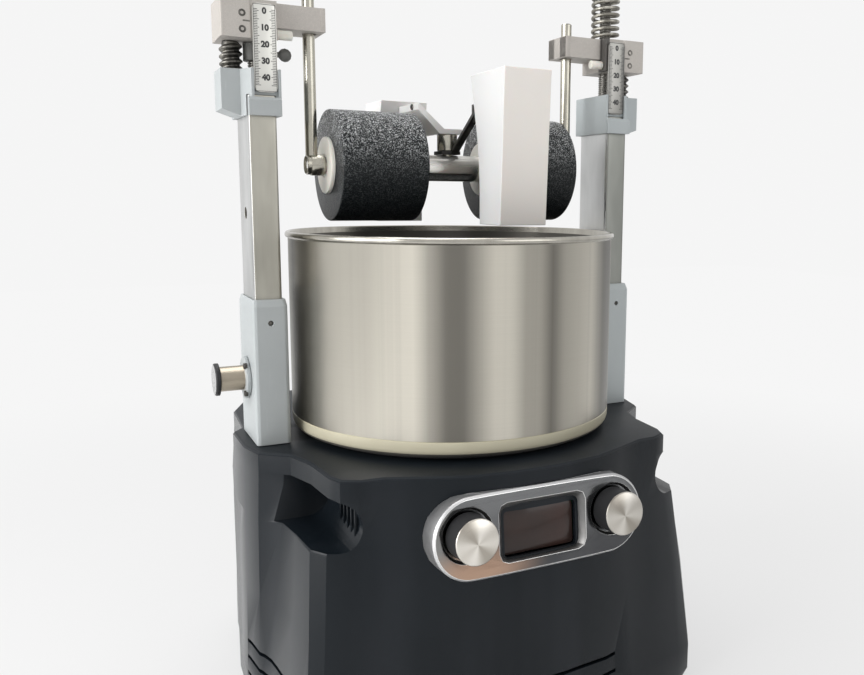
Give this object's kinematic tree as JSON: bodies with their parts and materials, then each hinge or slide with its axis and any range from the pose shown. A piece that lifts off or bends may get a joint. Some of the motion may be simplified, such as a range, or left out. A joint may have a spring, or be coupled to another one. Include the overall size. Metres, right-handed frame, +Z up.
{
  "type": "chocolate melanger",
  "caption": "Tabletop chocolate melanger: a faceted base turns a steel bowl under granite rollers on a sprung, liftable gantry with scrapers.",
  "frame": {"origin": "on the floor, in the middle of the box that holds the whole machine; the bowl axis stands 4.9 mm to its right and 2.3 mm in front of it", "axes": "+Z up along the bowl axis, +X to the right of someone facing the control panel, -Y towards the panel"},
  "size_m": [0.3272, 0.3174, 0.5569],
  "materials": {
    "housing": "satin",
    "rubber": "matt",
    "steel": "satin",
    "bright_steel": "polished",
    "dark_steel": "satin",
    "cast_iron": "matt",
    "paint": "satin",
    "blasted": "matt",
    "granite": "matt",
    "acetal": "satin",
    "black": "satin",
    "smoked": "gloss",
    "board": "matt"
  },
  "bodies": {
    "base": {"base_housing": "housing", "base_pan": "steel", "foot_front_left": "rubber", "foot_front_right": "rubber", "foot_rear_left": "rubber", "foot_rear_right": "rubber", "motor": "cast_iron", "motor_bracket": "steel", "drive_belt": "rubber", "bearing_housing": "cast_iron", "spindle_bearing": "dark_steel", "control_panel": "bright_steel", "display_window": "smoked", "control_board": "board", "power_inlet": "black", "sleeve_left": "paint", "sleeve_right": "paint", "plunger_guide": "steel"},
    "bowl_drive": {"turntable": "black", "spindle": "dark_steel", "driven_pulley": "cast_iron", "bowl": "bright_steel", "base_stone": "granite", "bowl_nut": "steel"},
    "motor_drive": {"motor_pulley": "steel"},
    "gantry": {"tube_left": "steel", "tube_right": "steel", "head_left": "paint", "head_right": "paint", "scale_left": "steel", "scale_right": "steel", "spring_left": "dark_steel", "spring_right": "dark_steel", "cross_bar": "paint", "stop_collar": "black"},
    "tension_left": {"tension_screw_left": "dark_steel"},
    "tension_right": {"tension_screw_right": "dark_steel"},
    "stop_left": {"stop_screw_left": "dark_steel"},
    "stop_right": {"stop_screw_right": "dark_steel"},
    "carriage": {"slider_left": "blasted", "slider_right": "blasted", "rod_left": "bright_steel", "rod_right": "bright_steel", "axle": "bright_steel", "strut_front": "dark_steel", "bracket_nut": "bright_steel", "strap_rear": "blasted", "scraper_front": "acetal", "scraper_rear": "acetal"},
    "wheel_left": {"roller_left": "granite", "hub_left_inner": "acetal", "hub_left_outer": "acetal"},
    "wheel_right": {"roller_right": "granite", "hub_right_inner": "acetal", "hub_right_outer": "acetal"},
    "thumb_left": {"thumb_screw_left": "acetal"},
    "thumb_right": {"thumb_screw_right": "acetal"},
    "plunger": {"plunger_knob": "dark_steel"},
    "dial_left": {"knob_left": "bright_steel"},
    "dial_right": {"knob_right": "bright_steel"}
  },
  "joints": [
    {"name": "bowl_turn", "type": "hinge", "parent": "base", "child": "bowl_drive", "pos_m": [0.00487, -0.00229, 0.204], "axis": [0, 0, 1], "continuous": true},
    {"name": "motor_turn", "type": "hinge", "parent": "base", "child": "motor_drive", "pos_m": [0.00487, 0.09171, 0.089], "axis": [0, 0, 1], "continuous": true},
    {"name": "gantry_lift", "type": "slide", "parent": "base", "child": "gantry", "axis": [0, 0, 1], "range_m": [-0.11, 0]},
    {"name": "carriage_float", "type": "slide", "parent": "gantry", "child": "carriage", "axis": [0, 0, 1], "range_m": [0, 0.008], "stiffness_N_per_m": 12900, "springref_m": -0.006, "deforming": ["spring_left", "spring_right"]},
    {"name": "roller_left_turn", "type": "hinge", "parent": "carriage", "child": "wheel_left", "pos_m": [-0.05343, 0.00571, 0.3738], "axis": [1, 0, 0], "continuous": true},
    {"name": "roller_right_turn", "type": "hinge", "parent": "carriage", "child": "wheel_right", "pos_m": [0.06317, 0.00571, 0.3738], "axis": [1, 0, 0], "continuous": true},
    {"name": "tension_left_turn", "type": "hinge", "parent": "gantry", "child": "tension_left", "pos_m": [-0.13012, 0.00571, 0.544], "axis": [0, 0, 1], "range_deg": [-720, 720]},
    {"name": "tension_right_turn", "type": "hinge", "parent": "gantry", "child": "tension_right", "pos_m": [0.13987, 0.00571, 0.544], "axis": [0, 0, 1], "range_deg": [-720, 720]},
    {"name": "stop_left_turn", "type": "hinge", "parent": "gantry", "child": "stop_left", "pos_m": [-0.14492, 0.00571, 0.434], "axis": [0, 0, 1], "range_deg": [-720, 720]},
    {"name": "stop_right_turn", "type": "hinge", "parent": "gantry", "child": "stop_right", "pos_m": [0.15468, 0.00571, 0.434], "axis": [0, 0, 1], "range_deg": [-720, 720]},
    {"name": "thumb_left_turn", "type": "hinge", "parent": "carriage", "child": "thumb_left", "pos_m": [-0.11613, -0.00729, 0.4546], "axis": [1, 0, 0], "range_deg": [-360, 360]},
    {"name": "thumb_right_turn", "type": "hinge", "parent": "carriage", "child": "thumb_right", "pos_m": [0.12587, -0.00729, 0.4546], "axis": [1, 0, 0], "range_deg": [-360, 360]},
    {"name": "plunger_pull", "type": "slide", "parent": "base", "child": "plunger", "axis": [-1, 0, 0], "range_m": [0, 0.008], "stiffness_N_per_m": 900, "springref_m": -0.003},
    {"name": "dial_left_turn", "type": "hinge", "parent": "base", "child": "dial_left", "pos_m": [-0.04612, -0.14357, 0.15579], "axis": [0, 0.9962, -0.0872], "range_deg": [0, 300]},
    {"name": "dial_right_turn", "type": "hinge", "parent": "base", "child": "dial_right", "pos_m": [0.05588, -0.14357, 0.15579], "axis": [0, 0.9962, -0.0872], "range_deg": [0, 300]}
  ],
  "couplings": [
    {"joint": "motor_turn", "follows": "bowl_turn", "ratio": 4.1538}
  ]
}
